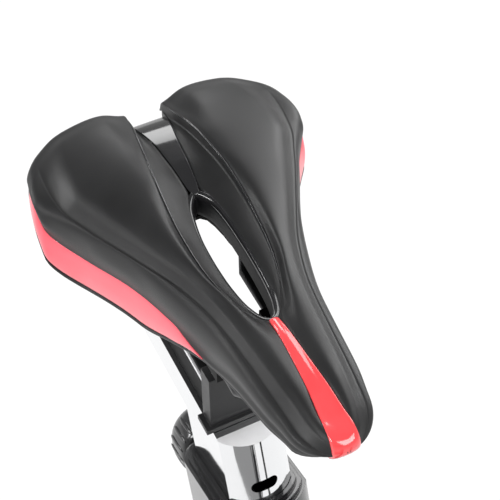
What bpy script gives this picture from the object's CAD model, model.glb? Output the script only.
"""Looks of an indoor spin bike: saddle, chrome post, frame finishes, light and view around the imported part."""

from __future__ import annotations

import logging
import math
from dataclasses import dataclass, field
from enum import Enum

import bmesh
import bpy
from mathutils import Matrix, Vector
from mathutils.bvhtree import BVHTree

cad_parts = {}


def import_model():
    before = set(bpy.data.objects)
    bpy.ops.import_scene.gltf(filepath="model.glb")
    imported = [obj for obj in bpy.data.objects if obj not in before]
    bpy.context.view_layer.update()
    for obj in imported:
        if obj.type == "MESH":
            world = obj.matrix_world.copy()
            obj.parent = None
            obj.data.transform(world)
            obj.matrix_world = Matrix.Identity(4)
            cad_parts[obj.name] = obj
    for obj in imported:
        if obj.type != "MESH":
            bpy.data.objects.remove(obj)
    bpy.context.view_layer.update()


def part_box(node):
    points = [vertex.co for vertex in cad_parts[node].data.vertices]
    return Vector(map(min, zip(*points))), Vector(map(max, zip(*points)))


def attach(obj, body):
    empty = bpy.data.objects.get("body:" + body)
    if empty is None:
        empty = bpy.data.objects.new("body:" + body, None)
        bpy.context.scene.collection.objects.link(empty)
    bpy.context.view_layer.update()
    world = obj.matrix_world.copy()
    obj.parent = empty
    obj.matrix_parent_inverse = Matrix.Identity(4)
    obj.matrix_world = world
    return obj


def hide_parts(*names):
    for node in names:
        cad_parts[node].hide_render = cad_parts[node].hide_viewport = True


LOG = logging.getLogger("spin_bike")
MM = 0.001
WELD = 1e-5  # metres under which vertices are merged
LOOSE = 1e-6  # less than this counts as nothing
SWELL_FRAMES = 20
KNOB_STEPS = 72
SENSOR = 36.0  # millimetres
WHITE = (1.0, 1.0, 1.0, 1.0)
SADDLE_ORIGIN = Vector((0.0, 352.0, 900.0))
Point = tuple[float, float, float]
Pair = tuple[float, float]
Face = tuple[int, ...]
Skin = tuple[list[Vector], list[Face]]
Piece = bpy.types.Object
Node = bpy.types.Node
Socket = bpy.types.NodeSocket
Material = bpy.types.Material


# ---------------------------------------------------------------- mesh helpers


@dataclass(frozen=True)
class Track:
    """A value that changes smoothly from knot to knot without overshooting."""

    knots: tuple[Pair, ...]

    def _slopes(self) -> list[float]:
        """Return the slope at each knot, flattened at local extremes.

        Returns:
            One slope for each knot.
        """
        steps = [(b[1] - a[1]) / (b[0] - a[0]) for a, b in zip(self.knots, self.knots[1:])]
        inner = [0.0 if a * b <= 0 else 2 * a * b / (a + b) for a, b in zip(steps, steps[1:])]
        return [steps[0], *inner, steps[-1]]

    def at(self, place: float) -> float:
        """Evaluate the track.

        Args:
            place: where to read it, held inside the first and last knot.

        Returns:
            The smooth value there.
        """
        knots = self.knots
        place = min(max(place, knots[0][0]), knots[-1][0])
        index = next((i for i in range(len(knots) - 1) if place <= knots[i + 1][0]), len(knots) - 2)
        (x0, y0), (x1, y1) = knots[index], knots[index + 1]
        slopes = self._slopes()
        span = x1 - x0
        t = (place - x0) / span
        return (
            y0 * (1 + 2 * t) * (1 - t) ** 2
            + span * slopes[index] * t * (1 - t) ** 2
            + y1 * t * t * (3 - 2 * t)
            + span * slopes[index + 1] * t * t * (t - 1)
        )


@dataclass(frozen=True)
class Line:
    """A feature line of the saddle: its half width and its height at each station, in millimetres."""

    places: tuple[Point, ...]

    def at(self, station: float) -> Pair:
        """Read the line.

        Args:
            station: where along the saddle, in millimetres.

        Returns:
            The half width and the height there.
        """
        across = Track(tuple((p[0], p[1]) for p in self.places))
        height = Track(tuple((p[0], p[2]) for p in self.places))
        return across.at(station), height.at(station)


def smooth_through(points: list[Pair], per_span: int) -> list[Pair]:
    """Lay a centripetal spline through points.

    Args:
        points: the points, in order.
        per_span: how many steps to take between two of them.

    Returns:
        The points of the spline, both ends among them.
    """
    ends = [
        (2 * points[0][0] - points[1][0], 2 * points[0][1] - points[1][1]),
        *points,
        (2 * points[-1][0] - points[-2][0], 2 * points[-1][1] - points[-2][1]),
    ]
    made: list[Pair] = []
    for p0, p1, p2, p3 in zip(ends, ends[1:], ends[2:], ends[3:]):
        knots = [0.0]
        for a, b in ((p0, p1), (p1, p2), (p2, p3)):
            knots.append(knots[-1] + max(math.dist(a, b), LOOSE) ** 0.5)
        for step in range(per_span):
            t = knots[1] + (knots[2] - knots[1]) * step / per_span
            value = []
            for axis in (0, 1):
                a1 = _between(p0[axis], p1[axis], knots[0], knots[1], t)
                a2 = _between(p1[axis], p2[axis], knots[1], knots[2], t)
                a3 = _between(p2[axis], p3[axis], knots[2], knots[3], t)
                b1 = _between(a1, a2, knots[0], knots[2], t)
                b2 = _between(a2, a3, knots[1], knots[3], t)
                value.append(_between(b1, b2, knots[1], knots[2], t))
            made.append((value[0], value[1]))
    return [*made, points[-1]]


def _between(a: float, b: float, ta: float, tb: float, t: float) -> float:
    """Return the value at t on the straight line from (ta, a) to (tb, b)."""
    return a + (b - a) * (t - ta) / (tb - ta)


def mix(a: float, b: float, share: float) -> float:
    """Return the value a share of the way from a to b."""
    return a + (b - a) * share


def mix_pair(a: Pair, b: Pair, share: float) -> Pair:
    """Return the point a share of the way from a to b."""
    return mix(a[0], b[0], share), mix(a[1], b[1], share)


def add_object(name: str, data: bpy.types.ID) -> Piece:
    """Add an object with that data to the scene.

    Args:
        name: the object's name.
        data: its mesh, lamp or camera.

    Returns:
        The object.
    """
    piece = bpy.data.objects.new(name, data)
    bpy.context.scene.collection.objects.link(piece)
    return piece


def mesh_piece(name: str, skin: Skin) -> Piece:
    """Make a mesh object from a skin in the row frame, in millimetres.

    Args:
        name: the piece's name.
        skin: its vertices, and the vertex numbers of each face.

    Returns:
        The new object, linked to the scene.
    """
    points, faces = skin
    mesh = bpy.data.meshes.new(name)
    mesh.from_pydata([p * MM for p in points], [], faces)
    form = bmesh.new()
    form.from_mesh(mesh)
    bmesh.ops.remove_doubles(form, verts=form.verts, dist=WELD)
    bmesh.ops.dissolve_degenerate(form, edges=form.edges, dist=WELD)
    bmesh.ops.recalc_face_normals(form, faces=form.faces)
    form.to_mesh(mesh)
    form.free()
    mesh.shade_smooth()
    return add_object(name, mesh)


def add_modifier(piece: Piece, kind: str, **values: object) -> bpy.types.Modifier:
    """Add a modifier and set its values.

    Args:
        piece: the object to modify.
        kind: Blender's type of modifier.
        **values: properties of the modifier.

    Returns:
        The modifier.
    """
    modifier = piece.modifiers.new(kind.title(), kind)
    for key, value in values.items():
        setattr(modifier, key, value)
    return modifier


def apply_modifiers(piece: Piece) -> None:
    """Turn a piece with modifiers into a plain mesh.

    Args:
        piece: the piece, which gets the evaluated mesh.
    """
    graph = bpy.context.evaluated_depsgraph_get()
    mesh = bpy.data.meshes.new_from_object(piece.evaluated_get(graph))
    piece.modifiers.clear()
    piece.data = mesh


# ---------------------------------------------------------------- finishes


class Grain(Enum):
    """The kinds of surface relief that a finish can have."""

    PEBBLE = "pebble"
    PEEL = "peel"
    CAST = "cast"
    FOAM = "foam"
    FELT = "felt"
    TURNED = "turned"
    DRAWN = "drawn"


DETAIL: dict[Grain, float] = {
    Grain.PEBBLE: 2.0, Grain.PEEL: 1.0, Grain.CAST: 6.0, Grain.FOAM: 8.0, Grain.FELT: 12.0, Grain.TURNED: 3.0,
    Grain.DRAWN: 3.0,
}


class Tree:
    """A node tree under construction."""

    def __init__(self, tree: bpy.types.NodeTree) -> None:
        """Start on an empty tree."""
        self.tree = tree
        self.column = 0

    def node(self, kind: str, inputs: dict[str, object] | None = None, **settings: object) -> Node:
        """Add a node.

        Args:
            kind: Blender's name for the node.
            inputs: values or output sockets for its inputs, by name.
            **settings: the node's own properties.

        Returns:
            The node.
        """
        node = self.tree.nodes.new(kind)
        self.column += 1
        node.location = (self.column * 180.0, 0.0)
        for key, value in settings.items():
            setattr(node, key, value)
        for key, value in (inputs or {}).items():
            socket = node.inputs[int(key)] if key.isdigit() else node.inputs[key]
            if isinstance(value, bpy.types.NodeSocket):
                self.tree.links.new(value, socket)
            else:
                socket.default_value = value
        return node

    def link(self, value: Socket, node: Node, key: str) -> None:
        """Link an output to a node's input, by name."""
        self.tree.links.new(value, node.inputs[key])

    def maths(self, operation: str, first: object, second: object = 0.0, third: object = 0.0) -> Socket:
        """Add a sum on two or three values and return its result."""
        return self.node("ShaderNodeMath", {"0": first, "1": second, "2": third}, operation=operation).outputs[0]

    def ramp(self, value: object, stops: list[tuple[float, tuple[float, ...]]]) -> Socket:
        """Add a colour ramp.

        Args:
            value: what it reads.
            stops: position and colour of each stop.

        Returns:
            The ramp's colour.
        """
        node = self.node("ShaderNodeValToRGB", {"Fac": value})
        elements = node.color_ramp.elements
        while len(elements) < len(stops):
            elements.new(0.5)
        for element, (place, colour) in zip(elements, stops):
            element.position = place
            element.color = (*colour[:3], 1.0)
        return node.outputs["Color"]

    def spread(self, value: object, low: float, high: float) -> Socket:
        """Map a value from 0 to 1 onto low to high."""
        return self.node("ShaderNodeMapRange", {"Value": value, "To Min": low, "To Max": high}).outputs["Result"]


def new_material(name: str) -> tuple[Material, Tree]:
    """Start a material.

    Args:
        name: the material's name.

    Returns:
        The material and its tree.
    """
    material = bpy.data.materials.new(name)
    material.use_nodes = True
    return material, Tree(material.node_tree)


def new_group(name: str, inputs: dict[str, float], outputs: list[str]) -> tuple[Tree, Node, Node]:
    """Start a shader node group with number sockets.

    Args:
        name: the group's name.
        inputs: the name and default of each input.
        outputs: the name of each output.

    Returns:
        The tree with its input and output nodes.
    """
    group = bpy.data.node_groups.new(name, "ShaderNodeTree")
    for key, value in inputs.items():
        socket = group.interface.new_socket(key, in_out="INPUT", socket_type="NodeSocketFloat")
        socket.default_value = value
    for key in outputs:
        group.interface.new_socket(key, in_out="OUTPUT", socket_type="NodeSocketFloat")
    tree = Tree(group)
    return tree, tree.node("NodeGroupInput"), tree.node("NodeGroupOutput")


class Effects:
    """Shader node groups that several finishes share."""

    def __init__(self) -> None:
        """Build each group once."""
        self.handling = self._handling()
        self.relief = {kind: self._relief(kind) for kind in Grain}

    def _handling(self) -> bpy.types.NodeTree:
        """Build broad, soft marks of use: where a surface is a little duller and lighter.

        Returns:
            A group that puts out a mask from 0 to 1.
        """
        tree, start, end = new_group("Handling marks", {"Scale": 9.0, "Amount": 1.0}, ["Mask"])
        place = tree.node("ShaderNodeTexCoord").outputs["Object"]
        broad = tree.node(
            "ShaderNodeTexNoise",
            {"Vector": place, "Scale": start.outputs["Scale"], "Detail": 4.0, "Roughness": 0.55},
        )
        finer = tree.maths("MULTIPLY", start.outputs["Scale"], 7.0)
        specks = tree.node("ShaderNodeTexNoise", {"Vector": place, "Scale": finer, "Detail": 3.0})
        share = tree.maths("MULTIPLY", broad.outputs["Fac"], 0.65)
        both = tree.maths("MULTIPLY_ADD", specks.outputs["Fac"], 0.35, share)
        sharp = tree.node("ShaderNodeMapRange", {"Value": both, "From Min": 0.36, "From Max": 0.66})
        tree.link(tree.maths("MULTIPLY", sharp.outputs["Result"], start.outputs["Amount"]), end, "Mask")
        return tree.tree

    def _relief(self, kind: Grain) -> bpy.types.NodeTree:
        """Build the relief of one kind of grain.

        Args:
            kind: the grain.

        Returns:
            A group that puts out a height from 0 to 1.
        """
        tree, start, end = new_group(f"Relief {kind.value}", {"Scale": 900.0}, ["Height"])
        place = tree.node("ShaderNodeTexCoord").outputs["Object"]
        scale = start.outputs["Scale"]
        if kind is Grain.TURNED:
            parts = tree.node("ShaderNodeSeparateXYZ", {"Vector": place})
            place = tree.node("ShaderNodeCombineXYZ", {"X": parts.outputs["X"]}).outputs[0]
        elif kind is Grain.DRAWN:
            place = tree.node("ShaderNodeMapping", {"Vector": place, "Scale": (1.0, 1.0, 0.02)}).outputs[0]
        elif kind is Grain.PEBBLE:
            cells = tree.node("ShaderNodeTexVoronoi", {"Vector": place, "Scale": scale}, feature="SMOOTH_F1")
        rough = {} if kind in (Grain.TURNED, Grain.DRAWN, Grain.PEBBLE) else {"Roughness": 0.6}
        noise = {"Vector": place, "Scale": scale, "Detail": DETAIL[kind], **rough}
        height = tree.node("ShaderNodeTexNoise", noise).outputs["Fac"]
        if kind is Grain.PEBBLE:
            height = tree.maths("MULTIPLY_ADD", cells.outputs["Distance"], -0.8, height)
        tree.link(height, end, "Height")
        return tree.tree


@dataclass(frozen=True)
class Finish:
    """A surface finish: its colours, gloss and relief.

    Attributes:
        name: what a maker would call it.
        colour: its main colour.
        worn: the colour where it is handled.
        roughness: its roughness, clean and handled.
        metallic: 1 for bare metal.
        relief: its grain, how fine that is, per metre, and how deep, in metres.
        coat: weight of a clear coat.
        sheen: weight of a soft sheen.
        marks: how fine the handling marks are, per metre.
        specular: level of the plain reflection.
        edge: radius by which shading rounds off sharp edges, in metres.
    """

    name: str
    colour: Point
    worn: Point
    roughness: Pair
    metallic: float = 0.0
    relief: tuple[Grain, float, float] = (Grain.PEEL, 900.0, 0.00005)
    coat: float = 0.0
    sheen: float = 0.0
    marks: float = 9.0
    specular: float = 0.5
    edge: float = 0.0

    def build(self, effects: Effects) -> Material:
        """Build the material.

        Args:
            effects: the shared node groups.

        Returns:
            The material.
        """
        material, tree = new_material(self.name)
        shader = tree.tree.nodes["Principled BSDF"]
        levels = {"Metallic": self.metallic, "Specular IOR Level": self.specular, "Coat Weight": self.coat,
                  "Coat Roughness": 0.04, "Sheen Weight": self.sheen, "Sheen Roughness": 0.45}
        for key, level in levels.items():
            shader.inputs[key].default_value = level
        marks = tree.node("ShaderNodeGroup", node_tree=effects.handling)
        marks.inputs["Scale"].default_value = self.marks
        tree.link(tree.ramp(marks.outputs["Mask"], [(0.0, self.colour), (1.0, self.worn)]), shader, "Base Color")
        tree.link(tree.spread(marks.outputs["Mask"], *self.roughness), shader, "Roughness")
        grain, fineness, depth = self.relief
        relief = tree.node("ShaderNodeGroup", node_tree=effects.relief[grain])
        relief.inputs["Scale"].default_value = fineness
        bump = tree.node("ShaderNodeBump", {"Height": relief.outputs["Height"], "Distance": depth, "Strength": 1.0})
        if self.edge > 0:
            rounded = tree.node("ShaderNodeBevel", {"Radius": self.edge}, samples=4)
            tree.link(rounded.outputs["Normal"], bump, "Normal")
        tree.link(bump.outputs["Normal"], shader, "Normal")
        return material


FINISHES: dict[str, Finish] = {
    "pad_skin": Finish(
        "Moulded saddle skin", (0.0115, 0.0115, 0.012), (0.0165, 0.0165, 0.017), (0.40, 0.47),
        relief=(Grain.PEBBLE, 2600.0, 0.00004), marks=6.0, specular=0.42,
    ),
    "channel_gloss": Finish(
        "Polished channel plastic", (0.012, 0.012, 0.013), (0.018, 0.018, 0.019), (0.10, 0.17),
        relief=(Grain.PEEL, 160.0, 0.00003), coat=0.6,
    ),
    "inner_wall": Finish(
        "Dull inner wall", (0.006, 0.006, 0.007), (0.010, 0.010, 0.011), (0.45, 0.55),
        relief=(Grain.PEEL, 260.0, 0.00003), specular=0.2,
    ),
    "gloss_black": Finish(
        "Gloss black moulding", (0.008, 0.008, 0.009), (0.014, 0.014, 0.015), (0.12, 0.22),
        relief=(Grain.PEEL, 220.0, 0.00003), coat=0.5, edge=0.0012,
    ),
    "bright_edge": Finish(
        "Bright rolled edge", (0.80, 0.80, 0.82), (0.70, 0.70, 0.72), (0.28, 0.36), metallic=0.35,
        relief=(Grain.DRAWN, 1200.0, 0.00001), marks=20.0, edge=0.0004,
    ),
    "red_gloss": Finish(
        "Red lacquered trim", (0.86, 0.055, 0.062), (0.92, 0.080, 0.088), (0.14, 0.22),
        relief=(Grain.PEEL, 120.0, 0.00004), coat=1.0,
    ),
    "side_red": Finish(
        "Coral side trim", (0.88, 0.10, 0.135), (0.94, 0.14, 0.18), (0.30, 0.38),
        relief=(Grain.PEEL, 150.0, 0.00004), coat=0.35,
    ),
    "post_chrome": Finish(
        "Bright chrome", (0.88, 0.885, 0.895), (0.84, 0.845, 0.855), (0.035, 0.075), metallic=1.0,
        relief=(Grain.PEEL, 60.0, 0.00002),
    ),
    "machined_steel": Finish(
        "Machined steel", (0.62, 0.63, 0.65), (0.52, 0.53, 0.55), (0.22, 0.34), metallic=1.0,
        relief=(Grain.TURNED, 2500.0, 0.00002), marks=30.0, edge=0.0005,
    ),
    "satin_end": Finish(
        "Satin end face", (0.80, 0.80, 0.81), (0.72, 0.72, 0.73), (0.40, 0.50), metallic=0.15,
        relief=(Grain.TURNED, 1600.0, 0.00001), marks=22.0,
    ),
    "shadow_black": Finish(
        "Deep black moulding", (0.0040, 0.0040, 0.0042), (0.0062, 0.0062, 0.0064), (0.55, 0.68),
        relief=(Grain.PEEL, 500.0, 0.00003), specular=0.15,
    ),
    "black_steel": Finish(
        "Blackened steel rod", (0.030, 0.030, 0.032), (0.060, 0.060, 0.062), (0.26, 0.36), metallic=0.8,
        relief=(Grain.DRAWN, 1500.0, 0.00001), marks=24.0,
    ),
    "screen_glass": Finish(
        "Dark screen glass", (0.010, 0.014, 0.016), (0.014, 0.019, 0.021), (0.05, 0.12),
        relief=(Grain.PEEL, 90.0, 0.00001), coat=1.0,
    ),
    "flywheel_iron": Finish(
        "Turned flywheel iron", (0.30, 0.305, 0.315), (0.22, 0.225, 0.235), (0.24, 0.36), metallic=1.0,
        relief=(Grain.TURNED, 1800.0, 0.00003), marks=14.0, edge=0.0012,
    ),
    "frame_paint": Finish(
        "Satin black powder coat", (0.013, 0.0132, 0.014), (0.020, 0.0202, 0.021), (0.36, 0.46),
        relief=(Grain.PEEL, 700.0, 0.00002), coat=0.08, marks=7.0, edge=0.0015,
    ),
    "moulded_black": Finish(
        "Textured black moulding", (0.014, 0.014, 0.015), (0.021, 0.021, 0.022), (0.46, 0.58),
        relief=(Grain.PEBBLE, 1900.0, 0.00008), marks=12.0, edge=0.0010,
    ),
    "cover_grey": Finish(
        "Graphite moulding", (0.0125, 0.0125, 0.0135), (0.018, 0.018, 0.019), (0.44, 0.54),
        relief=(Grain.PEBBLE, 2200.0, 0.00005), marks=14.0, edge=0.0010,
    ),
    "grip_foam": Finish(
        "Foam grip", (0.017, 0.017, 0.018), (0.026, 0.026, 0.027), (0.78, 0.90),
        relief=(Grain.FOAM, 900.0, 0.00025), marks=20.0,
    ),
    "tread_rubber": Finish(
        "Black rubber", (0.013, 0.013, 0.013), (0.024, 0.024, 0.024), (0.62, 0.76),
        relief=(Grain.CAST, 500.0, 0.0001), marks=25.0, edge=0.0012,
    ),
    "felt": Finish(
        "Pressed felt", (0.33, 0.30, 0.25), (0.24, 0.21, 0.17), (0.90, 0.98),
        relief=(Grain.FELT, 700.0, 0.0005), sheen=0.3, marks=40.0,
    ),
}


SLOTS: dict[str, str] = {
    "channel_gloss": "gloss_black", "screen_glass": "gloss_black", "inner_wall": "moulded_black",
    "shadow_black": "moulded_black", "side_red": "red_gloss", "bright_edge": "machined_steel",
    "satin_end": "machined_steel", "black_steel": "machined_steel",
}


class Finishes:
    """The finishes of the bike, each built when it is first asked for."""

    def __init__(self) -> None:
        """Start with the shared effects."""
        self.effects = Effects()
        self.built: dict[str, Material] = {}

    def get(self, name: str) -> Material:
        """Return the material of a finish, built when it is new.

        Args:
            name: the key of the finish.

        Returns:
            The material.
        """
        if name not in self.built:
            self.built[name] = FINISHES[name].build(self.effects)
        return self.built[name]

    def dress(self, piece: Piece, name: str, slot: str | None = None) -> None:
        """Give a piece one finish and its material slot.

        Args:
            piece: what to dress.
            name: the finish.
            slot: the record's slot, where the finish doesn't tell it.
        """
        piece.data.materials.clear()
        piece.data.materials.append(self.get(name))
        slot or SLOTS.get(name, name)


# ---------------------------------------------------------------- saddle


@dataclass(frozen=True)
class SaddleForm:
    """The lines that shape the saddle, as (station, half width, height) in millimetres from its reference point.

    Stations run from the nose, at -124.5, to the rear, at 150. Behind the bend they turn round the lobes.
    """

    middle: Line = Line((
        (-124.5, 0, -4.5), (-123, 0, -0.6), (-118, 0, 3.0), (-104, 0, 6.2), (-81, 0, 11), (-56, 0, 12), (-40, 0, 9.8),
        (-31.4, 0, 7.4),
    ))
    inner: Line = Line((
        (-31.4, 0.0, 7.4), (-30.6, 1.9, 7.2), (-27.6, 4.4, 6.6), (-22, 6.6, 5.8), (-14.3, 8.6, 4.8), (-4, 10.0, 4.0),
        (9.5, 11.0, 3.5), (24, 11.4, 3.8), (38, 11.1, 4.6), (48, 10.2, 6.2), (57, 8.7, 8.0), (65, 6.6, 9.2),
        (70, 4.7, 9.8), (73, 3.6, 10.2), (76, 3.2, 10.5), (97, 5.2, 14.0), (115, 7.0, 14.0), (128, 9.2, 12.0),
        (140, 11.0, 9.0), (150, 11.6, 6.0),
    ))
    crease: Line = Line((
        (-124.5, 3, -4.5), (-123, 5, -0.6), (-118, 7.0, 3.0), (-104, 7.4, 6.5), (-81, 5.8, 11.2), (-48, 4.6, 11.8),
        (-34, 5.0, 9.0), (-28.5, 7.5, 7.6), (-14, 14.6, 8.4), (9.5, 20.9, 10.4), (28, 22.9, 13.2), (47.5, 23.6, 16.4),
        (66, 23.0, 20.4), (85.5, 21.3, 23.2), (103, 19.2, 23.4), (118.8, 17.0, 21.4), (135, 14.3, 16.8),
        (150, 12.6, 11.4),
    ))
    crown: Line = Line((
        (-124.5, 8, -4.5), (-123, 9, -0.5), (-118, 10.5, 3.4), (-104, 11, 8), (-81, 12, 13), (-48, 13, 14.5),
        (-19, 18, 15.2), (10, 26, 17), (43, 30, 20.4), (76, 32, 24.2), (100, 33, 25.4), (124, 32, 23.9),
        (140, 30, 20.6), (150, 29, 16.4),
    ))
    ridge: Line = Line((
        (-124.5, 14, -5), (-123, 14.5, -2), (-118, 14.8, 1.4), (-104, 15.4, 6.2), (-81, 18.4, 10.5),
        (-48, 21.6, 12.0), (-19, 25.4, 12.4), (10, 33.3, 12.8), (43, 47, 14), (76, 61.3, 15.2), (100, 69.5, 16.2),
        (124, 67.5, 17), (140, 63.8, 16), (150, 60, 12.8),
    ))
    valley: Line = Line((
        (-124.5, 19, -6.5), (-123, 19.4, -5), (-118, 20.4, -2.4), (-104, 21.4, 2.0), (-81, 23.5, 5.8),
        (-48, 26.6, 7.4), (-19, 30.2, 7.6), (10, 38.3, 7.6), (43, 53.6, 7.6), (76, 69.6, 7.4), (100, 78.2, 8),
        (124, 80, 9.5), (140, 79.3, 10.2), (150, 77, 9),
    ))
    edge: Line = Line((
        (-124.5, 23.5, -9), (-123, 23.5, -9), (-118, 23.9, -9), (-104, 24.4, -8), (-81, 28.5, -9), (-48, 32, -14),
        (-19, 36.5, -25), (10, 44, -23), (43, 55, -22), (76, 72.5, -21), (100, 85, -16), (114, 89.5, -9),
        (127, 90, -1), (140, 89, 1), (150, 87, 1),
    ))
    rim: Line = Line((
        (-124.5, 22, -14.5), (-123, 22.4, -14.8), (-118, 22.8, -15.2), (-104, 23, -15.5), (-81, 28, -17.5),
        (-48, 31.5, -24), (-19, 35.8, -31.5), (10, 44.5, -42), (43, 54.5, -56), (76, 70, -56), (100, 86, -47),
        (114, 91.5, -37), (127, 92, -26), (140, 91, -20), (150, 88.8, -17),
    ))
    step: Track = Track((
        (-124.5, 0.02), (-100, 0.04), (-60, 0.22), (-40, 0.25), (-28, 0.6), (0, 1.6), (40, 3.0), (80, 5.8),
        (110, 7.4), (135, 6.6), (150, 4.8),
    ))
    rear: Track = Track((
        (0, 147), (9.5, 148.5), (38, 151.5), (60, 150), (74, 144), (84, 135), (90, 127.5), (95, 120),
    ))
    tip: float = -124.5
    nose_start: float = -102.0
    bend: float = 80.0
    tail: float = 150.0
    hole_front: float = -31.4
    hole_rear: float = 72.0
    wall_drop: float = 20.0
    undercut: float = 0.8

    def narrowing(self, station: float) -> float:
        """Work out how much of the half width the rounded nose keeps.

        Args:
            station: where along the saddle, in millimetres.

        Returns:
            A share from 0 to 1.
        """
        if station >= self.nose_start:
            return 1.0
        share = (self.nose_start - station) / (self.nose_start - self.tip)
        return max(1.0 - share**1.6, 0.0) ** 0.5

    def place(self, station: float, across: float, height: float) -> Vector:
        """Put a point of a section into the row frame, bent round the rear of the lobes.

        Args:
            station: the section.
            across: distance from the middle plane, negative to the right.
            height: height over the reference point.

        Returns:
            The point, in millimetres.
        """
        if station > self.bend:
            reach = max(self.rear.at(abs(across)), self.bend + 2.0)
            along = Track(((60, 60), (self.bend, self.bend), (self.tail, reach))).at(station)
        else:
            near_tip = min(max((self.nose_start - station) / (self.nose_start - self.tip), 0.0), 1.0)
            along = station + self.undercut * near_tip * max(0.0, -4.0 - height)
        return SADDLE_ORIGIN + Vector((across, along, height))

    def start(self, station: float) -> Pair:
        """Return where a half section starts: in the middle plane, or at the edge of the opening or the notch."""
        return self.middle.at(station) if station <= self.hole_front else self.inner.at(station)

    def top(self, station: float) -> list[Pair]:
        """Lay out the top of one half section, from the middle or the opening out to the lower rim.

        Args:
            station: the section.

        Returns:
            Its (x, z) points; their number is the same at every station.
        """
        start = self.start(station)
        crease = self.crease.at(station)
        crown, ridge, valley = self.crown.at(station), self.ridge.at(station), self.valley.at(station)
        edge, rim = self.edge.at(station), self.rim.at(station)
        drop = self.step.at(station)
        foot = (crease[0] - 0.1 - 0.12 * drop, crease[1] - drop)
        run = (foot[0] - start[0], foot[1] - start[1])
        points = [(start[0] + run[0] * t, start[1] + run[1] * t - 0.9 * math.sin(math.pi * t)) for t in
                  (0, 0.08, 0.25, 0.45, 0.65, 0.82, 0.94)]
        roll = min(1.5, 0.35 * drop + 0.12)
        points += [foot, (crease[0] - 0.05, crease[1] - max(roll, 0.6 * drop))]
        turns = [math.radians(a) for a in (20, 45, 70)]
        points += [(crease[0] + roll * (1 - math.cos(a)), crease[1] - roll * (1 - math.sin(a))) for a in turns]
        crest = (mix(ridge[0], crown[0], 0.14) - 1.0, mix(ridge[1], crown[1], 0.38))
        flank = (mix(ridge[0], valley[0], 0.5), mix(ridge[1], valley[1], 0.54))
        trough = (valley[0] + 1.4, valley[1] - 0.1)
        out = edge[0] - valley[0]
        shoulder = (valley[0] + 0.55 * out + 2.2, mix(valley[1], edge[1], 0.14))
        belly = (max(valley[0] + 4.2, edge[0] + 1.6), mix(valley[1], edge[1], 0.5))
        first = [(crease[0] + roll, crease[1]), (mix(crease[0], crown[0], 0.3), crease[1] + 0.9)]
        points += smooth_through([*first, crown, crest, ridge, flank, valley, trough, shoulder, belly, edge], 4)
        points += [(mix(edge[0], rim[0], t) + 1.6 * math.sin(math.pi * t), mix(edge[1], rim[1], t))
                   for t in (0.2, 0.4, 0.6, 0.8, 1.0)]
        share = self.narrowing(station)
        return [(x * share, z) for x, z in points]

    def under(self, station: float) -> list[Pair]:
        """Lay out the underside of one half section, from the rim in to the opening or the middle.

        Args:
            station: the section.

        Returns:
            Its (x, z) points; their number is the same at every station.
        """
        start = self.start(station)
        valley, rim = self.valley.at(station), self.rim.at(station)
        turn = (rim[0] - 4.0, rim[1] + 0.4)
        inner = (max(valley[0] - 6.0, 4.0), max(valley[1] - 13.0, rim[1] + 0.8))
        drop = self.wall_drop * min(1.0, max(0.3, (station - self.tip) / 24.0))
        end = (start[0], start[1] - drop)
        points = [turn, *(mix_pair(turn, inner, t) for t in (0.3, 0.65, 1.0))]
        points += [mix_pair(inner, end, t) for t in (0.25, 0.5, 0.75, 1.0)]
        share = self.narrowing(station)
        return [(x * share, z) for x, z in points]

    def stations(self) -> list[float]:
        """List the sections, closer together where the form turns quickly.

        Returns:
            The stations, from the nose to the rear.
        """
        nose = [self.tip + 26.0 * (1 - math.cos(math.radians(a))) for a in (4, 9, 14, 20, 27, 34, 42, 51, 60, 70, 80)]
        neck = [-96.0 + 4.0 * i for i in range(16)]
        front = [-31.4, -31.0, -30.0, -28.4, -26.0, -22.5]
        middle = [-18.0 + 4.5 * i for i in range(18)]
        back = [61.5, 65.0, 68.0, 70.0, 71.5, 72.4, 74.0, 77.0]
        rear = [81.0 + 4.0 * i for i in range(17)]
        return [*nose, *neck, *front, *middle, *back, *rear, self.tail]


def loft(rings: list[list[Vector]], closed: bool = True, caps: bool = True) -> Skin:
    """Join rings of equal length into a skin.

    Args:
        rings: the rings, in order.
        closed: whether each ring meets its own start.
        caps: whether the two ends are closed.

    Returns:
        Vertices and faces.
    """
    count = len(rings[0])
    points = [p for ring in rings for p in ring]
    faces: list[Face] = []
    spans = count if closed else count - 1
    for i in range(len(rings) - 1):
        for j in range(spans):
            k = (j + 1) % count
            faces.append((i * count + j, i * count + k, (i + 1) * count + k, (i + 1) * count + j))
    if caps:
        faces.append(tuple(range(count)))
        faces.append(tuple(range((len(rings) - 1) * count, len(rings) * count)))
    return points, faces


def moved(skin: Skin, place: Matrix) -> Skin:
    """Move a skin in millimetres by a placement in metres."""
    return [place @ (p * MM) / MM for p in skin[0]], skin[1]


def mirrored(skin: Skin) -> Skin:
    """Add a skin's mirror image across the middle plane.

    Args:
        skin: one half.

    Returns:
        Both halves, not joined.
    """
    points, faces = skin
    count = len(points)
    twins = [Vector((-p.x, p.y, p.z)) for p in points]
    return [*points, *twins], [*faces, *(tuple(v + count for v in reversed(f)) for f in faces)]


CLOTH: dict[str, object] = {
    "vertex_group_mass": "held", "quality": 5, "use_pressure": True, "uniform_pressure_force": 4.0,
    "tension_stiffness": 15.0, "compression_stiffness": 15.0, "shear_stiffness": 5.0, "bending_stiffness": 0.5,
}


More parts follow.
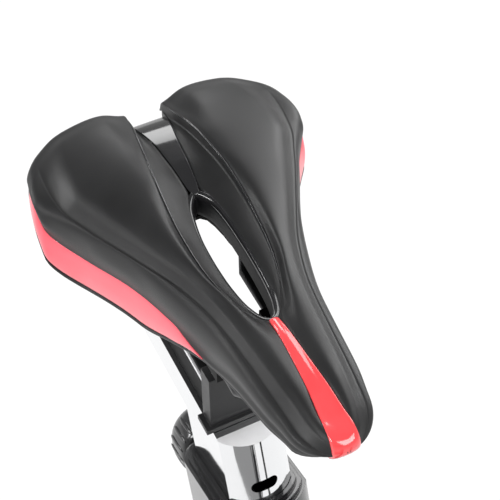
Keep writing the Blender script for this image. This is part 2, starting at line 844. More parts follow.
@dataclass
class Saddle:
    """The saddle: its padded cover, glossy channel, coloured trims and the parts under it."""

    finishes: Finishes
    form: SaddleForm = field(default_factory=SaddleForm)
    tail_radius: float = 6.0
    trim_proud: float = 0.7
    trim_start: float = -17.5
    trim_reach: float = 0.9
    swell: float = 1.2
    held_ends: Pair = (-110.0, 128.0)
    held_width: float = 7.0
    tongue_ends: Pair = (70.5, 144.0)
    piping_ends: Pair = (-24.0, 146.5)
    nose_turn: float = -104.0

    def build(self) -> list[Piece]:
        """Build the saddle's pieces.

        Returns:
            The pieces.
        """
        cover = self.cover()
        return [cover, self.opening_rim(), self.opening_wall(), self.tongue(), self.nose_strip(cover),
                self.side_strips(), self.lip(), self.piping()]

    def _seat(self, piece: Piece, finish: str, *nodes: str, slot: str | None = None,
              smooth: bool = True) -> Piece:
        """Smooth and dress a piece, let it ride on the saddle and stand for its nodes.

        Args:
            piece: the piece.
            finish: its finish.
            *nodes: the CAD nodes that it stands for.
            slot: the record's slot, where the finish doesn't tell it.
            smooth: whether it is subdivided once.

        Returns:
            The piece.
        """
        if smooth:
            add_modifier(piece, "SUBSURF", levels=1, render_levels=1)
        self.finishes.dress(piece, finish, slot)
        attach(piece, "saddle")
        if nodes:
            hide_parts(*nodes)
        return piece

    def cover(self) -> Piece:
        """Build the padded cover as one closed form, split behind the opening.

        Returns:
            The cover.
        """
        form = self.form
        stations = form.stations()
        rings = [[form.place(s, x, z) for x, z in (*form.top(s), *form.under(s))] for s in stations]
        wide = len(form.top(0.0))
        for angle in (20, 42, 66, 90):
            turn = math.radians(angle)
            pull = self.tail_radius * (1 - math.cos(turn))
            back = Vector((0, self.tail_radius * math.sin(turn), 0))
            ring = []
            for number, (x, z) in enumerate([*form.top(form.tail), *form.under(form.tail)]):
                side = min(1.0, number / wide)
                inward = pull if number < 3 else -pull * min(1.0, max(0.0, (x - 60.0) / 25.0))
                lift = -pull if number < wide - 3 else pull * (1.2 - side)
                ring.append(form.place(form.tail, x + inward, z + lift) + back)
            rings.append(ring)
        points, faces = loft(rings, closed=False)
        count = len(rings[0])
        for i in range(len(rings) - 1):
            if i + 1 >= len(stations) or form.top(stations[i + 1])[0][0] > 0.01:
                a, b = i * count, (i + 1) * count
                faces.append((a, b, b + count - 1, a + count - 1))
        piece = mesh_piece("saddle_cover", mirrored((points, faces)))
        self._pad(piece)
        self._seat(piece, "pad_skin", "saddle_pad")
        return piece

    def _pad(self, piece: Piece) -> None:
        """Blow the cover up a little with cloth, held at its seams, and cap how far it moves.

        Args:
            piece: the cover, whose mesh is changed.
        """
        start = [v.co.copy() for v in piece.data.vertices]
        held = piece.vertex_groups.new(name="held")
        for vertex in piece.data.vertices:
            held.add([vertex.index], self._firmness(vertex.co / MM - SADDLE_ORIGIN), "REPLACE")
        cloth = add_modifier(piece, "CLOTH").settings
        cloth.effector_weights.gravity = 0.0
        for key, value in CLOTH.items():
            setattr(cloth, key, value)
        scene = bpy.context.scene
        for frame in range(1, SWELL_FRAMES + 1):
            scene.frame_set(frame)
        graph = bpy.context.evaluated_depsgraph_get()
        blown = piece.evaluated_get(graph).to_mesh()
        ends = [v.co.copy() for v in blown.vertices]
        piece.evaluated_get(graph).to_mesh_clear()
        piece.modifiers.clear()
        piece.vertex_groups.clear()
        scene.frame_set(1)
        cap = self.swell * MM
        for vertex, was, now in zip(piece.data.vertices, start, ends):
            move = now - was
            if move.length > cap:
                move *= cap / move.length
            vertex.co = was + move

    def _firmness(self, spot: Vector) -> float:
        """Work out how firmly the cover is held at a point.

        Args:
            spot: a point of the cover, in millimetres from the saddle's reference point.

        Returns:
            1 along seams and edges, 0 in the middle of a panel.
        """
        form = self.form
        station, across = spot.y, abs(spot.x)
        front, rear = self.held_ends
        seams = [line.at(station)[0] for line in (form.crease, form.valley, form.edge)]
        if spot.z < form.edge.at(station)[1] + 2 or not front <= station <= rear or across < seams[0] + 1:
            return 1.0
        return max(0.0, 1.0 - min(abs(across - seam) for seam in seams) / self.held_width)

    def _opening_loop(self) -> list[Vector]:
        """Lay out the edge of the opening.

        Returns:
            The points, in millimetres from the saddle's reference point.
        """
        form = self.form
        middle = (form.hole_front + form.hole_rear) / 2
        reach = (form.hole_rear - form.hole_front) / 2
        side = []
        for step in range(45):
            y = middle - reach * math.cos(math.pi * step / 44)
            x, z = form.inner.at(y)
            closing = math.sqrt(max(0.0, 1 - max(0.0, (y - 60) / (form.hole_rear - 60)) ** 2.2))
            side.append(Vector((x * closing, y, z)))
        return [*side, *(Vector((-p.x, p.y, p.z)) for p in side[-2:0:-1])]

    def _round_opening(self, name: str, profile: list[Pair]) -> Piece:
        """Sweep a closed profile round the opening.

        Args:
            name: the piece's name.
            profile: (outward, up) points, in millimetres from the edge of the opening.

        Returns:
            The piece.
        """
        loop = self._opening_loop()
        rings = []
        for number, spot in enumerate(loop):
            ahead, behind = loop[(number + 1) % len(loop)], loop[number - 1]
            way = Vector((ahead.x - behind.x, ahead.y - behind.y, 0)).normalized()
            out = Vector((way.y, -way.x, 0))
            rings.append([SADDLE_ORIGIN + spot + out * o + Vector((0, 0, h)) for o, h in profile])
        return mesh_piece(name, loft([*rings, rings[0]], caps=False))

    def opening_rim(self) -> Piece:
        """Build the rolled, glossy rim of the opening.

        Returns:
            The rim.
        """
        piece = self._round_opening("opening_rim", [
            (3.0, -0.4), (2.2, 0.1), (1.2, 0.2), (0.3, -0.15), (-0.45, -0.8), (-0.95, -1.7), (-1.15, -2.8),
            (-1.2, -4.2), (0.2, -4.4), (1.8, -1.9)])
        return self._seat(piece, "channel_gloss")

    def opening_wall(self) -> Piece:
        """Build the dull wall inside the opening.

        Returns:
            The wall.
        """
        piece = self._round_opening("opening_wall", [
            (-0.9, -3.8), (-1.1, -6.0), (-1.3, -12.0), (-1.6, -19.6), (-0.4, -19.8), (0.3, -12.0), (0.4, -3.0)])
        return self._seat(piece, "inner_wall")

    def tongue(self) -> Piece:
        """Build the glossy tongue between the lobes, which narrows to the opening.

        Returns:
            The tongue.
        """
        form = self.form
        line = Line(((70.5, 1.6, 10.0), (73, 2.6, 10.4), (76, 3.4, 10.9), (97, 5.6, 14.3), (115, 7.4, 14.3),
                     (128, 9.6, 12.3), (138, 11.2, 9.2), (144, 11.8, 5.8)))
        rings = []
        front, rear = self.tongue_ends
        for i in range(27):
            y = front + (rear - front) * i / 26
            rings.append(self._strip_ring(line, y, Vector((0, y, 0))))
        for drop, back in ((1.2, 1.6), (3.2, 2.8), (6.5, 3.4), (11.0, 3.2)):
            rings.append(self._strip_ring(line, rear, Vector((0, rear + back, -drop))))
        return self._seat(mesh_piece("channel_tongue", loft(rings)), "channel_gloss", "centre_channel")

    def _strip_ring(self, line: Line, station: float, origin: Vector) -> list[Vector]:
        """Lay a ring round a slightly crowned strip.

        Args:
            line: the half width and the height of the strip.
            station: where the line is read.
            origin: the middle of the ring at height 0, from the reference point.

        Returns:
            The points of the ring.
        """
        wide, high = line.at(station)
        shares = (-1, -0.97, -0.75, -0.5, -0.25, 0, 0.25, 0.5, 0.75, 0.97, 1)
        top = [Vector((wide * a, 0, high + 0.12 * (1 - a * a))) for a in shares]
        foot = [Vector((wide * a, 0, high - 2.6)) for a in (1, 0.5, 0, -0.5, -1)]
        return [SADDLE_ORIGIN + origin + p for p in (*top, *foot)]

    def nose_strip(self, cover: Piece) -> Piece:
        """Build the red lacquered strip along the nose, which wraps over its tip.

        Args:
            cover: the padded cover that the strip lies on.

        Returns:
            The strip.
        """
        wide = Track(((0, 3.0), (16, 3.6), (44, 5.3), (72, 7.6), (90, 8.9), (104, 9.6), (112, 9.9)))
        start = self.form.hole_front - 0.8
        skin = BVHTree.FromObject(cover, bpy.context.evaluated_depsgraph_get())
        casts = [(start + (self.nose_turn - start) * i / 24, 0.0) for i in range(25)]
        casts += [(self.nose_turn, float(angle)) for angle in range(9, 118, 9)]
        shares = (-1, -0.96, -0.8, -0.5, -0.25, 0, 0.25, 0.5, 0.8, 0.96, 1)
        hearts, aims, reach = [], [], []
        for station, angle in casts:
            lean = math.radians(angle)
            aim = Vector((0, -math.sin(lean), math.cos(lean)))
            half = wide.at(start - station + 16.0 * lean)
            row = [SADDLE_ORIGIN + Vector((half * a, station, -6.0)) for a in shares]
            hearts.append(row)
            aims.append(aim)
            reach.append([(skin.ray_cast((h + aim * 60.0) * MM, -aim)[0] / MM - h).dot(aim) for h in row])
        rings = []
        for number, (row, aim) in enumerate(zip(hearts, aims)):
            close = reach[max(number - 1, 0) : number + 2]
            top, foot = [], []
            for place, (heart, a) in enumerate(zip(row, shares)):
                near = [r for other in close for r in other[max(place - 1, 0) : place + 2]]
                bed = (max(near) + sum(near) / len(near)) / 2
                top.append(heart + aim * (bed + (-0.5 if abs(a) == 1 else 0.5 + 0.3 * (1 - a * a))))
                foot.append(heart + aim * (bed - 1.5))
            rings.append([*top, *reversed(foot[1:-1])])
        return self._seat(mesh_piece("nose_strip", loft(rings)), "red_gloss", "nose_trim")

    def side_strips(self) -> Piece:
        """Build the coral strips along the skirt, which taper to a point towards the nose.

        Returns:
            Both strips as one piece.
        """
        form = self.form
        start, reach = self.trim_start, self.trim_reach
        proud = (0.1, *[self.trim_proud] * 5, 0.1, -1.2, -1.2)
        rings = []
        for i in range(61):
            station = start + (form.tail - start) * i / 60
            lower = form.top(station)[-6:]
            grown = min(1.0, max(0.04, (station - start) / 26.0))
            spots = [self._along(lower, reach * (1 - grown) * 0.55 + t * reach * grown) for t in
                     (0, 0.04, 0.25, 0.5, 0.75, 0.96, 1)]
            spots += [spots[-1], spots[0]]
            rings.append([form.place(station, x + out, z) for out, (x, z) in zip(proud, spots)])
        return self._seat(mesh_piece("side_strips", mirrored(loft(rings))), "side_red", "side_trims")

    def _along(self, points: list[Pair], share: float) -> Pair:
        """Find a point along a short chain of points.

        Args:
            points: the chain.
            share: how far along it, from 0 to 1.

        Returns:
            The point.
        """
        place = min(max(share, 0.0), 1.0) * (len(points) - 1)
        index = min(int(place), len(points) - 2)
        t = place - index
        return mix_pair(points[index], points[index + 1], t)

    def piping(self) -> Piece:
        """Build the thin glossy beads that edge the lobes along the channel.

        Returns:
            Both beads as one piece.
        """
        form = self.form
        rings = []
        front, rear = self.piping_ends
        for i in range(60):
            station = front + 170.0 * i / 59
            x, z = form.crease.at(station)
            thick = 0.62 * min(1.0, max(0.05, (station - front) / 30.0), max(0.05, (rear - station) / 12.0))
            ring = []
            for step in range(8):
                turn = math.tau * step / 8
                ring.append(form.place(station, x + 0.35 + thick * math.cos(turn), z - 0.25 + thick * math.sin(turn)))
            rings.append(ring)
        return self._seat(mesh_piece("channel_piping", mirrored(loft(rings))), "channel_gloss", smooth=False)

    def lip(self) -> Piece:
        """Build the thin lip of the base shell, which shows under the skirt all round.

        Returns:
            The lip.
        """
        form = self.form
        profile = [(-3.5, 1.6), (0.5, 1.2), (1.0, 0.2), (0.6, -1.2), (-0.6, -1.7), (-3.5, -1.6)]
        rings = []
        for station in [s for s in form.stations() if s > -124]:
            share = form.narrowing(station)
            x, z = form.rim.at(station)
            rings.append([form.place(station, x * share + o, z + h) for o, h in profile])
        piece = mesh_piece("base_lip", mirrored(loft(rings)))
        return self._seat(piece, "cover_grey", slot="moulded_black", smooth=False)


# ---------------------------------------------------------------- knobs, studs and the console


class Layout(Enum):
    """How the copies of a repeated item are laid out."""

    RING = "ring"
    GRID = "grid"


@dataclass(frozen=True)
class Repeat:
    """Small rounded items, repeated by Geometry Nodes in a ring or on a grid.

    Attributes:
        name: the piece's name.
        layout: ring or grid.
        count: copies round the ring, or along and across the grid.
        spread: the ring's radius, or the grid's length and width, in millimetres.
        size: half sizes of one item, in millimetres.
    """

    name: str
    layout: Layout
    count: tuple[int, int]
    spread: Pair
    size: Point

    def _inputs(self, material: Material) -> dict[str, tuple[str, object]]:
        """Name the tree's inputs.

        Args:
            material: the items' material.

        Returns:
            The kind of socket and the value of each input, by name.
        """
        turn = math.tau / self.count[0] if self.layout is Layout.RING else 0.0
        return {
            "Along": ("NodeSocketInt", self.count[0]), "Across": ("NodeSocketInt", self.count[1]),
            "Reach": ("NodeSocketFloat", self.spread[0] * MM), "Width": ("NodeSocketFloat", self.spread[1] * MM),
            "Turn": ("NodeSocketFloat", turn), "Item size": ("NodeSocketVector", self.size),
            "Material": ("NodeSocketMaterial", material),
        }

    def _places(self, tree: Tree, sizes: Node) -> Socket:
        """Add the node that lays out the copies.

        Args:
            tree: the tree under construction.
            sizes: its group input.

        Returns:
            The points of the layout.
        """
        along, reach = sizes.outputs["Along"], sizes.outputs["Reach"]
        if self.layout is Layout.RING:
            return tree.node("GeometryNodeMeshCircle", {"Vertices": along, "Radius": reach}).outputs["Mesh"]
        return tree.node("GeometryNodeMeshGrid", {
            "Size X": reach, "Size Y": sizes.outputs["Width"], "Vertices X": along,
            "Vertices Y": sizes.outputs["Across"]}).outputs["Mesh"]

    def build(self, place: Matrix, finishes: Finishes, finish: str) -> Piece:
        """Build the copies as one plain mesh.

        Args:
            place: where the middle of the layout goes, in metres in the row frame.
            finishes: the finishes of the bike.
            finish: the items' finish, which is also their slot.

        Returns:
            The piece.
        """
        group = bpy.data.node_groups.new(self.name, "GeometryNodeTree")
        inputs = self._inputs(finishes.get(finish))
        names = {key: group.interface.new_socket(key, in_out="INPUT", socket_type=kind).identifier
                 for key, (kind, _) in inputs.items()}
        group.interface.new_socket("Geometry", in_out="OUTPUT", socket_type="NodeSocketGeometry")
        tree = Tree(group)
        sizes = tree.node("NodeGroupInput")
        points = self._places(tree, sizes)
        index = tree.node("GeometryNodeInputIndex").outputs[0]
        turn = tree.node("ShaderNodeCombineXYZ", {"Z": tree.maths("MULTIPLY", index, sizes.outputs["Turn"])})
        item = tree.node("GeometryNodeMeshUVSphere", {"Segments": 16, "Rings": 10, "Radius": MM})
        copies = tree.node("GeometryNodeInstanceOnPoints", {
            "Points": points, "Instance": item.outputs["Mesh"], "Rotation": turn.outputs[0],
            "Scale": sizes.outputs["Item size"]})
        real = tree.node("GeometryNodeRealizeInstances", {"Geometry": copies.outputs["Instances"]})
        soft = tree.node("GeometryNodeSetShadeSmooth", {"Geometry": real.outputs["Geometry"]})
        dressed = tree.node("GeometryNodeSetMaterial", {
            "Geometry": soft.outputs["Geometry"], "Material": sizes.outputs["Material"]})
        tree.node("NodeGroupOutput", {"0": dressed.outputs["Geometry"]})
        piece = add_object(self.name, bpy.data.meshes.new(self.name))
        modifier = add_modifier(piece, "NODES", node_group=group)
        for key, (_, value) in inputs.items():
            modifier[names[key]] = value
        apply_modifiers(piece)
        piece.data.transform(place)
        return piece


@dataclass(frozen=True)
class Knob:
    """A round hand knob with a domed cap and moulded ribs.

    Attributes:
        name: the piece's name.
        node: the CAD node it stands for.
        body: the CAD body it moves with.
        axis: the way its cap faces.
        radius: its radius, in millimetres.
        depth: its height, in millimetres.
        ribs: how many ribs it has.
        stem: radius and length of the pin behind it, in millimetres.
    """

    name: str
    node: str
    body: str
    axis: Point
    radius: float
    depth: float
    ribs: int
    stem: Pair

    def place(self) -> Matrix:
        """Find the frame at the middle of the cap from the box of the CAD node.

        Returns:
            The frame, in metres.
        """
        low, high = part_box(self.node)
        axis = Vector(self.axis).normalized()
        cap = []
        for a, lo, hi in zip(axis, low, high):
            side = self.radius * MM * math.sqrt(max(0.0, 1 - a * a))
            cap.append((lo + hi) / 2 if abs(a) < LOOSE else (hi - side if a > 0 else lo + side))
        return Matrix.Translation(cap) @ axis.to_track_quat("Z", "Y").to_matrix().to_4x4()

    def profile(self) -> list[Pair]:
        """Lay out the outline from the pin's far end over the cap to its middle.

        Returns:
            Its (radius, height) points.
        """
        r, h = self.radius, self.depth
        pin, length = self.stem
        return [(pin * 0.6, -h - length), (pin, -h - length + 1.0), (pin, -h - 1.5), (r * 0.50, -h),
                (r * 0.86, -h + 0.6), (r * 0.955, -h + 2.4), (r * 0.975, -h + 6.0), (r * 0.98, -h * 0.45),
                (r * 0.95, -h * 0.22), (r * 0.86, -h * 0.08), (r * 0.74, -0.5), (r * 0.68, -0.7), (r * 0.66, -1.5),
                (r * 0.60, -1.6), (r * 0.40, -0.9), (r * 0.18, -0.5)]

    def build(self, finishes: Finishes) -> list[Piece]:
        """Build the knob and its ribs, and let them move with its body.

        Args:
            finishes: the finishes of the bike.

        Returns:
            The knob and its ribs.
        """
        place = self.place()
        turns = [math.tau * i / KNOB_STEPS for i in range(KNOB_STEPS)]
        rings = [[Vector((r * math.cos(a), r * math.sin(a), height)) for a in turns] for r, height in self.profile()]
        knob = mesh_piece(self.name, moved(loft(rings), place))
        add_modifier(knob, "SUBSURF", levels=1, render_levels=1)
        finishes.dress(knob, "gloss_black")
        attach(knob, self.body)
        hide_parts(self.node)
        middle = place @ Matrix.Translation((0, 0, -self.depth * 0.56 * MM))
        ring = Repeat(f"{self.name}_ribs", Layout.RING, (self.ribs, 1), (self.radius * 0.965, 0.0),
                      (1.2, 2.3, self.depth * 0.33))
        ribs = ring.build(middle, finishes, "gloss_black")
        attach(ribs, self.body)
        return [knob, ribs]


@dataclass
class Fittings:
    """The knobs, the pedals' studs, the post's end face and the console's screen and buttons."""

    finishes: Finishes
    panel_rise: float = 7.0
    knobs: tuple[Knob, ...] = (
        Knob("seat_knob", "seat_pin_knob", "seat_pin", (0, 0.956305, -0.292372), 28, 34, 20, (4.9, 18.5)),
        Knob("handlebar_knob", "head_pin_knob", "head_pin", (0, 0.984808, -0.173648), 25, 30, 18, (4.9, 18.5)),
    )

    def build(self) -> list[Piece]:
        """Build them all.

        Returns:
            The pieces.
        """
        pieces = [piece for knob in self.knobs for piece in knob.build(self.finishes)]
        pieces += self.studs(1, "pedal_left") + self.studs(-1, "pedal_right")
        return [*pieces, *self.console(), self.end_face()]

    def studs(self, side: int, body: str) -> list[Piece]:
        """Set two rows of grip studs on the front and back bars of a pedal, above and below.

        Args:
            side: 1 for the left pedal, -1 for the right.
            body: the pedal's body and node.

        Returns:
            The upper and the lower studs.
        """
        low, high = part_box(body)
        outer = high.x if side > 0 else low.x
        middle = Vector((outer - side * 0.048, (low.y + high.y) / 2, (low.z + high.z) / 2))
        pieces = []
        for name, rise in (("upper", 0.011), ("lower", -0.011)):
            place = Matrix.Translation(middle + Vector((0, 0, rise)))
            rows = Repeat(f"{body}_{name}_studs", Layout.GRID, (7, 2), (80.0, 68.0), (2.2, 2.2, 1.6))
            pieces.append(rows.build(place, self.finishes, "machined_steel"))
            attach(pieces[-1], body)
        return pieces

    def console(self) -> list[Piece]:
        """Lay a dark screen in a raised bezel on the console, with a row of buttons under it.

        Returns:
            The bezel, the screen and the buttons.
        """
        lean = math.radians(28)
        place = Matrix.Translation(self._middle_of("console", Vector((0, math.sin(lean), math.cos(lean)))))
        place = place @ Matrix.Rotation(-lean, 4, "X")
        frame = [(0, -0.6), (0, 0.5), (0.5, 1.2), (2.2, 1.3), (3.0, 0.8), (3.2, 0.3)]
        bezel = self._panel("console_bezel", place, (46, 24), frame, 7.0)
        self.finishes.dress(bezel, "gloss_black")
        glass = [(0, -0.4), (0, 0.35), (0.4, 0.45), (12.0, 0.5)]
        screen = self._panel("console_screen", place, (42.9, 20.9), glass, 4.5)
        self.finishes.dress(screen, "screen_glass")
        row = Repeat("console_buttons", Layout.GRID, (4, 1), (60.0, 0.0), (5.2, 3.4, 1.5))
        buttons = row.build(place @ Matrix.Translation((0, 0.0255, 0)), self.finishes, "cover_grey")
        for piece in (bezel, screen, buttons):
            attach(piece, "handlebar")
        return [bezel, screen, buttons]

    def _middle_of(self, name: str, normal: Vector) -> Vector:
        """Find the middle of a CAD node's flat end in a direction.

        Args:
            name: the node.
            normal: the direction.

        Returns:
            The middle, in metres.
        """
        spots = [vertex.co for vertex in bpy.data.objects[name].data.vertices]
        reach = max(spot.dot(normal) for spot in spots)
        corners = [spot for spot in spots if spot.dot(normal) > reach - 0.0001]
        low = Vector(min(c[axis] for c in corners) for axis in range(3))
        high = Vector(max(c[axis] for c in corners) for axis in range(3))
        return (low + high) / 2

    def end_face(self) -> Piece:
        """Lay a thin satin plate on the flat top of the seat post's front, below the sliding carriage.

        Returns:
            The plate.
        """
        spots = [vertex.co / MM for vertex in bpy.data.objects["seat_post"].data.vertices]
        level = max(spot.z for spot in spots)
        crest = [spot for spot in spots if spot.z > level - 0.05]
        rear = SADDLE_ORIGIN.y + 1.0
        half = max(spot.x for spot in crest)
        outline = {(round(spot.x, 3), round(spot.y, 3)) for spot in crest if spot.y < rear}
        outline |= {(half, rear), (-half, rear)}
        middle = sum(y for _, y in outline) / len(outline)
        outline = sorted(outline, key=lambda spot: math.atan2(spot[1] - middle, spot[0]))
        rings = [[Vector((x, y, level + rise)) for x, y in outline] for rise in (0.06, 0.16)]
        piece = mesh_piece("post_end_face", loft(rings))
        piece.data.shade_flat()
        self.finishes.dress(piece, "satin_end")
        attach(piece, "seat_post")
        return piece

    def _panel(self, name: str, place: Matrix, half: Pair, steps: list[Pair], corner: float) -> Piece:
        """Build a round-cornered panel, set a little above the middle of the console.

        Args:
            name: the piece's name.
            place: the middle of the console's face.
            half: half its width and half its height, in millimetres.
            steps: (inset, height) of each ring, from the outside in.
            corner: radius of its corners.

        Returns:
            The panel.
        """
        rings = []
        for inset, height in steps:
            wide, deep, r = half[0] - inset, half[1] - inset, max(corner - inset, 0.6)
            ring = []
            for cx, cy, turn in ((1, 1, 0), (-1, 1, 90), (-1, -1, 180), (1, -1, 270)):
                for step in range(7):
                    angle = math.radians(turn + 15 * step)
                    x, y = cx * (wide - r) + r * math.cos(angle), cy * (deep - r) + r * math.sin(angle)
                    ring.append(Vector((x, y - self.panel_rise, height)))
            rings.append(ring)
        return mesh_piece(name, moved(loft(rings), place))


# ---------------------------------------------------------------- the other parts


NODE_FINISHES: dict[str, tuple[str, ...]] = {
    "frame_paint": ("base_beam", "seat_tube", "main_tube", "bracket_bridge", "rear_strut", "head_tube",
                    "fork_blade_left", "fork_blade_right", "front_stabiliser", "rear_stabiliser", "bracket_shell",
                    "crank_arms", "handlebar"),
    "post_chrome": ("seat_post", "handlebar_post"),
    "machined_steel": ("frame_bolts", "bracket_bearings", "flywheel_axle", "axle_nuts", "guard_screws",
                       "clamp_bolt", "crank_spindle", "drive_pulley", "flywheel_pulley"),
    "bright_edge": ("slider_rail_strips",),
    "black_steel": ("saddle_rails",),
    "flywheel_iron": ("flywheel",),
    "moulded_black": ("stabiliser_caps", "seat_arm_plug", "pedal_left", "pedal_right", "handlebar_end_caps",
                      "console", "slider_knob", "head_tube_collar"),
    "shadow_black": ("slider_carriage", "saddle_bracket", "clamp_cheeks", "saddle_base"),
    "gloss_black": ("seat_tube_collar", "seat_pin_knob", "head_pin_knob", "belt_guard_outer", "belt_guard_inner",
                    "tension_knob"),
    "cover_grey": ("slider_front_cover",),
    "grip_foam": ("handlebar_grips",),
    "tread_rubber": ("wheel_left", "wheel_right", "foot_front_left", "foot_front_right", "foot_rear_left",
                     "foot_rear_right", "drive_belt"),
    "felt": ("brake_pad",),
}


def dress_nodes(finishes: Finishes) -> None:
    """Give each carried-over node its finish.

    Args:
        finishes: the finishes of the bike.
    """
    for finish, names in NODE_FINISHES.items():
        for name in names:
            finishes.dress(bpy.data.objects[name], finish)


# ---------------------------------------------------------------- studio


@dataclass(frozen=True)
class Softbox:
    """A rectangular lamp, placed by its direction from the saddle.

    Attributes:
        name: what it is called.
        way: direction from the saddle to the lamp.
        distance: how far away it hangs, in metres.
        size: its width and height, in metres.
        power: its power, in watts.
    """

    name: str
    way: Point
    distance: float
    size: Pair
    power: float


@dataclass(frozen=True)
class Card:
    """A grey card that only shiny surfaces see, standing on the floor in front of the seat post.

    Attributes:
        name: what it is called.
        turn: where it starts and ends round the post, in degrees from straight ahead.
        height: its height, in metres.
        level: how bright it looks.
    """

    name: str
    turn: Pair
    height: float
    level: float


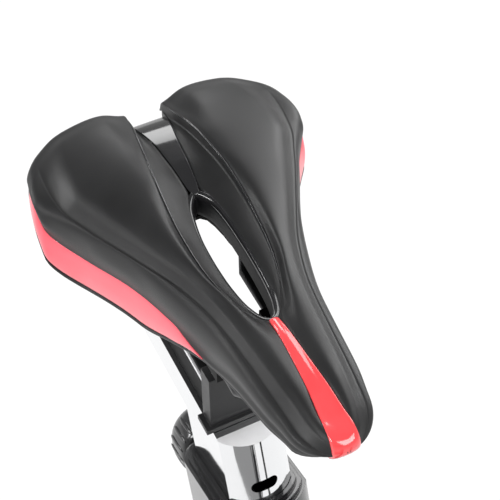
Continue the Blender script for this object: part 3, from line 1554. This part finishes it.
@dataclass
class Studio:
    """The floor, the lamps, the cards, the white surroundings and the camera."""

    eye: Point = (-0.2219, -0.1048, 1.5567)
    look: Point = (0.2777, 0.5675, -0.7751)
    up: Point = (0.3454, 0.6939, 0.6318)
    lens: float = 101.47
    day: float = 0.62
    horizon: float = 0.5
    zenith: float = 0.14
    card_distance: float = 1.25
    card_steps: int = 6
    floor_half: float = 12.0
    post: Point = (0.0, 0.39, 0.0)
    softboxes: tuple[Softbox, ...] = (
        Softbox("Back strip", (0.26, 0.83, 0.49), 2.4, (0.8, 1.0), 12.0),
        Softbox("Right fill", (0.74, 0.38, 0.56), 2.4, (1.8, 1.2), 26.0),
        Softbox("Left strip", (-0.78, -0.30, 0.55), 2.2, (1.3, 0.30), 24.0),
        Softbox("Left back", (-0.75, 0.60, 0.26), 2.4, (1.0, 0.4), 18.0),
        Softbox("Right side", (0.93, 0.30, 0.20), 2.4, (1.2, 0.8), 18.0),
        Softbox("Front", (0.33, -0.70, 0.62), 2.4, (0.8, 1.3), 20.0),
    )
    cards: tuple[Card, ...] = (
        Card("Grey card", (-41.0, 2.0), 0.62, 0.30),
        Card("Dark strip", (18.0, 22.0), 0.62, 0.05),
        Card("Side card", (84.0, 112.0), 0.62, 0.42),
    )

    def build(self) -> None:
        """Set up all of the studio."""
        self.camera()
        self.surroundings()
        self.floor()
        for box in self.softboxes:
            self.lamp(box)
        for card in self.cards:
            self.card(card)
        bpy.context.scene.view_settings.view_transform = "Standard"

    def camera(self) -> None:
        """Place the camera."""
        data = bpy.data.cameras.new("Camera")
        data.lens = self.lens
        data.sensor_width = SENSOR
        data.clip_start = 0.01
        camera = add_object("Camera", data)
        back = -Vector(self.look).normalized()
        right = Vector(self.up).cross(back).normalized()
        up = back.cross(right).normalized()
        camera.matrix_world = Matrix.Translation(self.eye) @ Matrix((right, up, back)).transposed().to_4x4()
        bpy.context.scene.camera = camera

    def _seen(self, tree: Tree) -> Socket:
        """Return 1 for rays that show a surface to the camera, straight or through glass."""
        path = tree.node("ShaderNodeLightPath")
        return tree.maths("MAXIMUM", path.outputs["Is Camera Ray"], path.outputs["Is Transmission Ray"])

    def surroundings(self) -> None:
        """Make the world white to the camera, even as a light, and dim overhead in reflections."""
        world = bpy.data.worlds.new("Surroundings")
        world.use_nodes = True
        bpy.context.scene.world = world
        tree = Tree(world.node_tree)
        way = tree.node("ShaderNodeSeparateXYZ", {"Vector": tree.node("ShaderNodeTexCoord").outputs["Generated"]})
        fade = {"Value": way.outputs["Z"], "From Min": 0.05, "From Max": 0.60, "To Min": self.horizon,
                "To Max": self.zenith}
        dome = tree.node("ShaderNodeMapRange", fade, interpolation_type="SMOOTHSTEP")
        glossy = tree.node("ShaderNodeLightPath").outputs["Is Glossy Ray"]
        shade = tree.node("ShaderNodeMix", {"0": glossy, "2": self.day, "3": dome.outputs["Result"]})
        bright = tree.node("ShaderNodeMix", {"0": self._seen(tree), "2": shade.outputs[0], "3": 1.0})
        background = world.node_tree.nodes["Background"]
        background.inputs["Color"].default_value = WHITE
        tree.link(bright.outputs[0], background, "Strength")

    def floor(self) -> None:
        """Lay a pale floor that shows white, with the object's shadow faintly on it."""
        mesh = bpy.data.meshes.new("floor")
        corners = [(x * self.floor_half, y * self.floor_half, 0) for x, y in ((-1, -1), (1, -1), (1, 1), (-1, 1))]
        mesh.from_pydata(corners, [], [(0, 1, 2, 3)])
        floor = add_object("floor", mesh)
        material, tree = new_material("Pale floor")
        shader = tree.tree.nodes["Principled BSDF"]
        shader.inputs["Base Color"].default_value = (0.85, 0.85, 0.85, 1.0)
        shader.inputs["Roughness"].default_value = 0.9
        glossy = tree.node("ShaderNodeLightPath").outputs["Is Glossy Ray"]
        shown = tree.maths("MULTIPLY", tree.maths("MAXIMUM", self._seen(tree), glossy), 0.8)
        glow = tree.node("ShaderNodeEmission", {"Color": WHITE, "Strength": 1.0})
        shaders = {"0": shown, "1": shader.outputs["BSDF"], "2": glow.outputs["Emission"]}
        mixed = tree.node("ShaderNodeMixShader", shaders)
        tree.link(mixed.outputs["Shader"], tree.tree.nodes["Material Output"], "Surface")
        mesh.materials.append(material)

    def lamp(self, box: Softbox) -> None:
        """Hang one softbox, aimed at the saddle.

        Args:
            box: the softbox.
        """
        data = bpy.data.lights.new(box.name, "AREA")
        data.shape = "RECTANGLE"
        data.size, data.size_y = box.size
        data.energy = box.power
        lamp = add_object(box.name, data)
        way = Vector(box.way).normalized()
        spot = SADDLE_ORIGIN * MM + way * box.distance
        lamp.matrix_world = Matrix.Translation(spot) @ (-way).to_track_quat("-Z", "Y").to_matrix().to_4x4()

    def card(self, card: Card) -> None:
        """Stand one grey card on the floor, bent round the seat post.

        Args:
            card: the card.
        """
        points = []
        for step in range(self.card_steps + 1):
            turn = math.radians(card.turn[0] + (card.turn[1] - card.turn[0]) * step / self.card_steps)
            foot = Vector(self.post) + Vector((math.sin(turn), -math.cos(turn), 0)) * self.card_distance
            points += [foot, foot + Vector((0, 0, card.height))]
        mesh = bpy.data.meshes.new(card.name)
        mesh.from_pydata(points, [], [(i, i + 2, i + 3, i + 1) for i in range(0, 2 * self.card_steps, 2)])
        piece = add_object(card.name, mesh)
        material, tree = new_material(card.name)
        glow = tree.node("ShaderNodeEmission", {"Color": WHITE, "Strength": card.level})
        tree.link(glow.outputs[0], tree.tree.nodes["Material Output"], "Surface")
        mesh.materials.append(material)
        for kind in ("camera", "diffuse", "transmission", "volume_scatter", "shadow"):
            setattr(piece, f"visible_{kind}", False)


def main() -> None:
    """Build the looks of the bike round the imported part."""
    logging.basicConfig(level=logging.INFO, format="%(message)s")
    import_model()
    finishes = Finishes()
    dress_nodes(finishes)
    for piece in (*Saddle(finishes).build(), *Fittings(finishes).build()):
        LOG.info("%s: %d vertices", piece.name, len(piece.data.vertices))
    Studio().build()


if __name__ == "__main__":
    main()
